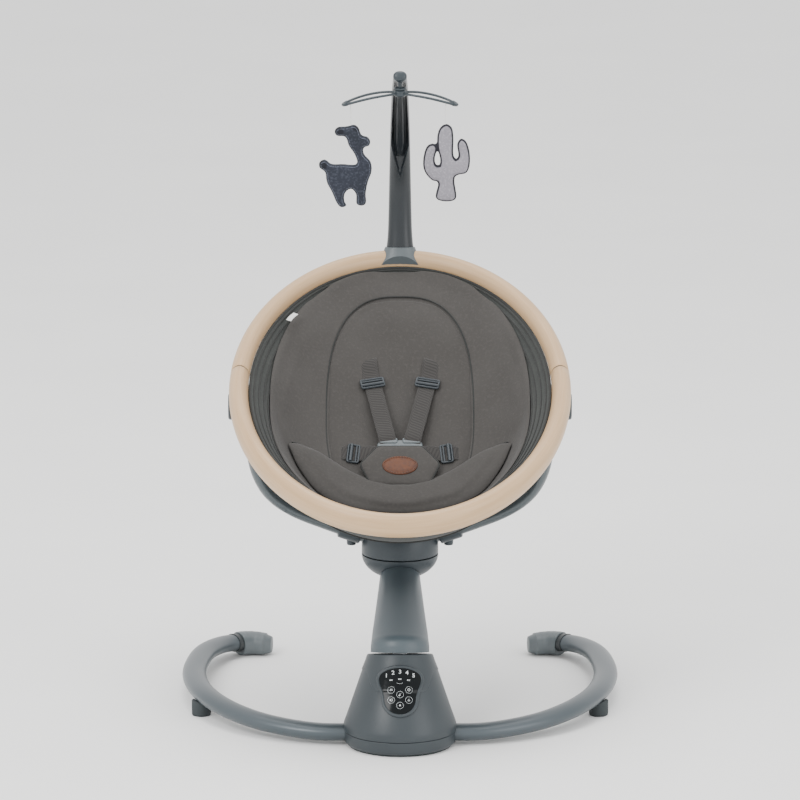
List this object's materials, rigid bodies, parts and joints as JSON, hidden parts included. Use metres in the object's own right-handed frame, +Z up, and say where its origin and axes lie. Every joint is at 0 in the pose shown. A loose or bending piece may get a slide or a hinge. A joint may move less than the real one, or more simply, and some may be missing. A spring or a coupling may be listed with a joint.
{
  "type": "baby swing",
  "caption": "Powered baby swing: tube base and pedestal, raised turning arm, oval reclining seat with harness, and a lift-off toy bar with a mobile.",
  "frame": {"origin": "centre of the pedestal's underside, on the floor", "axes": "+Z up; the swing faces -Y; +X is to the right seen from the front"},
  "size_m": [0.636, 0.6695, 0.9161],
  "materials": {
    "slate_plastic": "moulded, satin",
    "dark_plastic": "moulded, satin",
    "graphite_plastic": "moulded, satin",
    "clamp_plastic": "moulded, satin",
    "panel_gloss": "polished black",
    "tube_paint": "satin powder coat",
    "arm_paint": "satin powder coat",
    "ring_beige": "satin, faint wood grain",
    "pad_fabric": "knitted polyester, padded",
    "inlay_fabric": "knitted polyester, padded",
    "bucket_fabric": "woven lining on a stiff shell",
    "webbing": "woven polyester webbing",
    "leather_patch": "smooth brown leather",
    "rubber": "soft, matt",
    "steel": "turned",
    "gear_plastic": "natural acetal",
    "circuit": "laminate",
    "felt_dark": "dark slate felt",
    "felt_light": "pale grey cotton, dark piping",
    "string": "thin cord"
  },
  "bodies": {
    "stand": {"pedestal_shell": "slate_plastic", "pedestal_collar": "slate_plastic", "base_plate": "dark_plastic", "control_panel": "panel_gloss", "control_board": "circuit", "speaker": "dark_plastic", "drive_motor": "steel", "bearing_housing": "dark_plastic", "lower_bearing": "steel", "upper_bearing": "steel", "power_inlet": "dark_plastic", "left_base_tube": "tube_paint", "right_base_tube": "tube_paint", "left_end_cap": "slate_plastic", "right_end_cap": "slate_plastic", "left_foot": "rubber", "right_foot": "rubber", "pedestal_pad": "rubber"},
    "pinion": {"motor_pinion": "gear_plastic"},
    "swing_arm": {"swing_spindle": "steel", "drive_gear": "gear_plastic", "column_shell": "slate_plastic", "hub_bowl": "dark_plastic", "hub_housing": "dark_plastic", "left_arm": "arm_paint", "right_arm": "arm_paint", "left_arm_clamp": "dark_plastic", "right_arm_clamp": "dark_plastic", "left_recline_housing": "slate_plastic", "right_recline_housing": "slate_plastic"},
    "left_button": {"left_recline_button": "graphite_plastic"},
    "right_button": {"right_recline_button": "graphite_plastic"},
    "seat": {"upper_ring": "ring_beige", "lower_ring": "ring_beige", "left_ring_bracket": "slate_plastic", "right_ring_bracket": "slate_plastic", "toy_bar_socket": "clamp_plastic", "seat_bucket": "bucket_fabric", "seat_pad": "pad_fabric", "newborn_inlay": "inlay_fabric", "left_shoulder_strap": "webbing", "right_shoulder_strap": "webbing", "left_strap_adjuster": "dark_plastic", "right_strap_adjuster": "dark_plastic", "left_waist_strap": "webbing", "right_waist_strap": "webbing", "crotch_pad": "pad_fabric", "harness_buckle": "dark_plastic", "leather_badge": "leather_patch"},
    "release_button": {"buckle_button": "clamp_plastic"},
    "toy_bar": {"toy_bar": "graphite_plastic", "toy_bar_cap": "dark_plastic", "mobile_swivel": "dark_plastic"},
    "mobile": {"mobile_hanger": "dark_plastic"},
    "llama": {"llama_string": "string", "llama_toy": "felt_dark"},
    "cactus": {"cactus_string": "string", "cactus_toy": "felt_light"}
  },
  "joints": [
    {"name": "swing", "type": "hinge", "parent": "stand", "child": "swing_arm", "pos_m": [0, 0.02924, 0.12667], "axis": [0, 0.225, 0.9744], "range_deg": [-36, 36]},
    {"name": "pinion_spin", "type": "hinge", "parent": "stand", "child": "pinion", "pos_m": [0, 0.05247, 0.04946], "axis": [0, 0.225, 0.9744], "range_deg": [-110, 110]},
    {"name": "recline", "type": "hinge", "parent": "swing_arm", "child": "seat", "pos_m": [0, 0.297, 0.4265], "axis": [1, 0, 0], "range_deg": [-14, 12]},
    {"name": "left_button_press", "type": "slide", "parent": "swing_arm", "child": "left_button", "axis": [1, 0, 0], "range_m": [0, 0.003], "stiffness_N_per_m": 800},
    {"name": "right_button_press", "type": "slide", "parent": "swing_arm", "child": "right_button", "axis": [-1, 0, 0], "range_m": [0, 0.003], "stiffness_N_per_m": 800},
    {"name": "buckle_release", "type": "slide", "parent": "seat", "child": "release_button", "axis": [0, 0.6183, -0.7859], "range_m": [0, 0.0025], "stiffness_N_per_m": 600},
    {"name": "toy_bar_lift", "type": "slide", "parent": "seat", "child": "toy_bar", "axis": [0, 0.1452, 0.9894], "range_m": [0, 0.04]},
    {"name": "mobile_turn", "type": "hinge", "parent": "toy_bar", "child": "mobile", "pos_m": [0, 0.342, 0.885], "axis": [0, 0, 1], "range_deg": [-65, 65]},
    {"name": "llama_swing", "type": "hinge", "parent": "mobile", "child": "llama", "pos_m": [-0.0715, 0.342, 0.867], "axis": [0, 1, 0], "range_deg": [-20, 20]},
    {"name": "cactus_swing", "type": "hinge", "parent": "mobile", "child": "cactus", "pos_m": [0.066, 0.342, 0.869], "axis": [0, 1, 0], "range_deg": [-20, 20]}
  ],
  "couplings": [
    {"joint": "pinion_spin", "follows": "swing", "ratio": -3}
  ]
}
